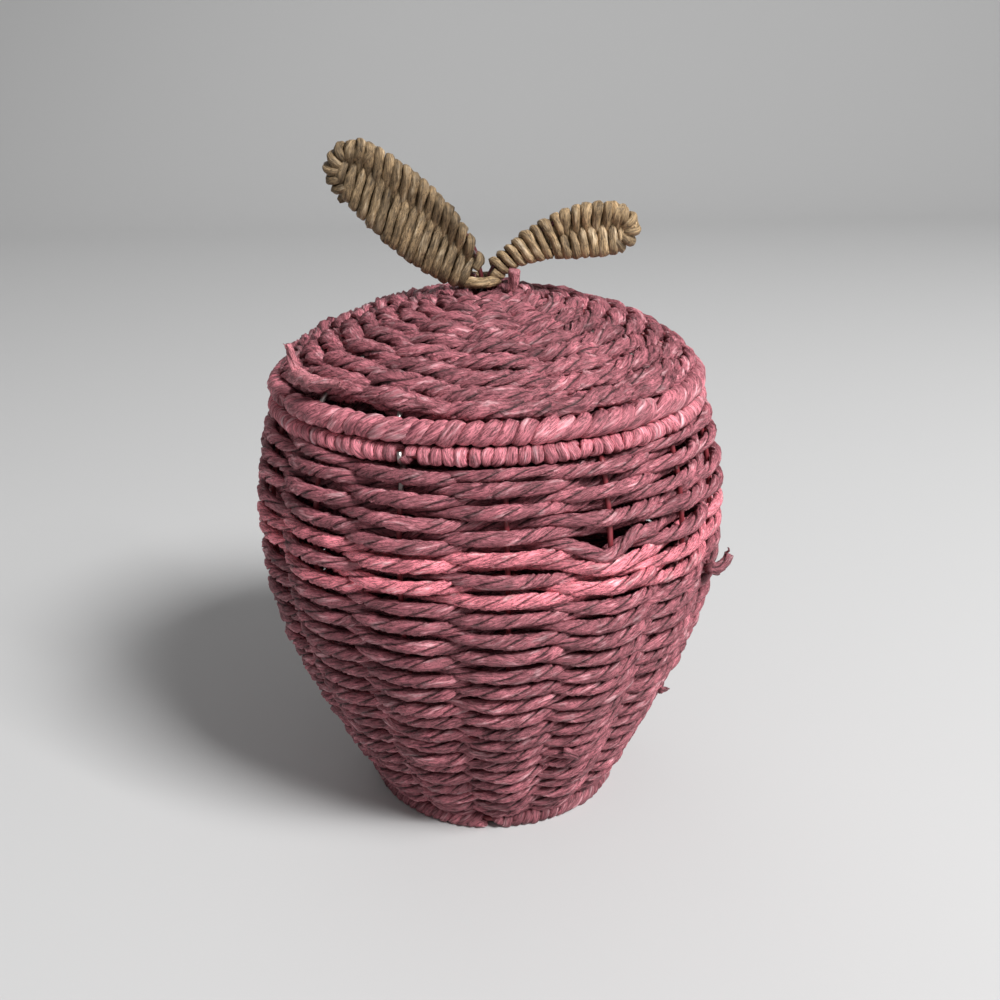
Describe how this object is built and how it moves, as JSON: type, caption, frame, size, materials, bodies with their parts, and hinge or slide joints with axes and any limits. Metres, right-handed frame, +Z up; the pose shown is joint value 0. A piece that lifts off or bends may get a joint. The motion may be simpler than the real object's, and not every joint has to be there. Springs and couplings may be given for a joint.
{
  "type": "lidded basket",
  "caption": "Apple-shaped basket of paper rope woven on a wire frame, with a bound foot ring and mouth ring, a lift-off domed lid and twine-bound wire leaves.",
  "frame": {"origin": "centre of the foot ring's flat underside, on the surface that the basket stands on", "axes": "+Z up through the crown; -Y is the front that the picture shows; +X to its right"},
  "size_m": [0.1694, 0.1688, 0.2418],
  "materials": {
    "burgundy_rope": "matte twisted paper rope",
    "pink_rope": "matte twisted paper rope",
    "olive_twine": "matte twisted paper twine",
    "frame_wire": "drawn wire, partly painted"
  },
  "bodies": {
    "basket": {"body_stake_01": "frame_wire", "body_stake_02": "frame_wire", "body_stake_03": "frame_wire", "body_stake_04": "frame_wire", "body_stake_05": "frame_wire", "body_stake_06": "frame_wire", "body_stake_07": "frame_wire", "body_stake_08": "frame_wire", "body_stake_09": "frame_wire", "body_stake_10": "frame_wire", "body_stake_11": "frame_wire", "body_stake_12": "frame_wire", "body_stake_13": "frame_wire", "body_stake_14": "frame_wire", "body_stake_15": "frame_wire", "body_weave_lower": "burgundy_rope", "body_weave_pink_band": "pink_rope", "body_weave_upper": "burgundy_rope", "base_weave": "burgundy_rope", "rim_ring_wire": "frame_wire", "rim_ring_binding": "burgundy_rope", "foot_ring_wire": "frame_wire", "foot_ring_binding": "burgundy_rope", "belly_rope_end": "burgundy_rope"},
    "lid": {"lid_spoke_01": "frame_wire", "lid_spoke_02": "frame_wire", "lid_spoke_03": "frame_wire", "lid_spoke_04": "frame_wire", "lid_spoke_05": "frame_wire", "lid_spoke_06": "frame_wire", "lid_spoke_07": "frame_wire", "lid_spoke_08": "frame_wire", "lid_spoke_09": "frame_wire", "lid_spoke_10": "frame_wire", "lid_spoke_11": "frame_wire", "lid_spoke_12": "frame_wire", "lid_spoke_13": "frame_wire", "lid_spoke_14": "frame_wire", "lid_weave": "burgundy_rope", "lid_ring_wire": "frame_wire", "lid_ring_binding": "burgundy_rope", "leaf_left_wire": "frame_wire", "leaf_left_twine": "olive_twine", "leaf_right_wire": "frame_wire", "leaf_right_twine": "olive_twine", "lid_rope_end": "pink_rope", "crown_rope_end": "pink_rope", "leaf_tie": "olive_twine"}
  },
  "joints": [
    {"name": "lid_lift", "type": "slide", "parent": "basket", "child": "lid", "axis": [0, 0, 1], "range_m": [0, 0.08]}
  ]
}
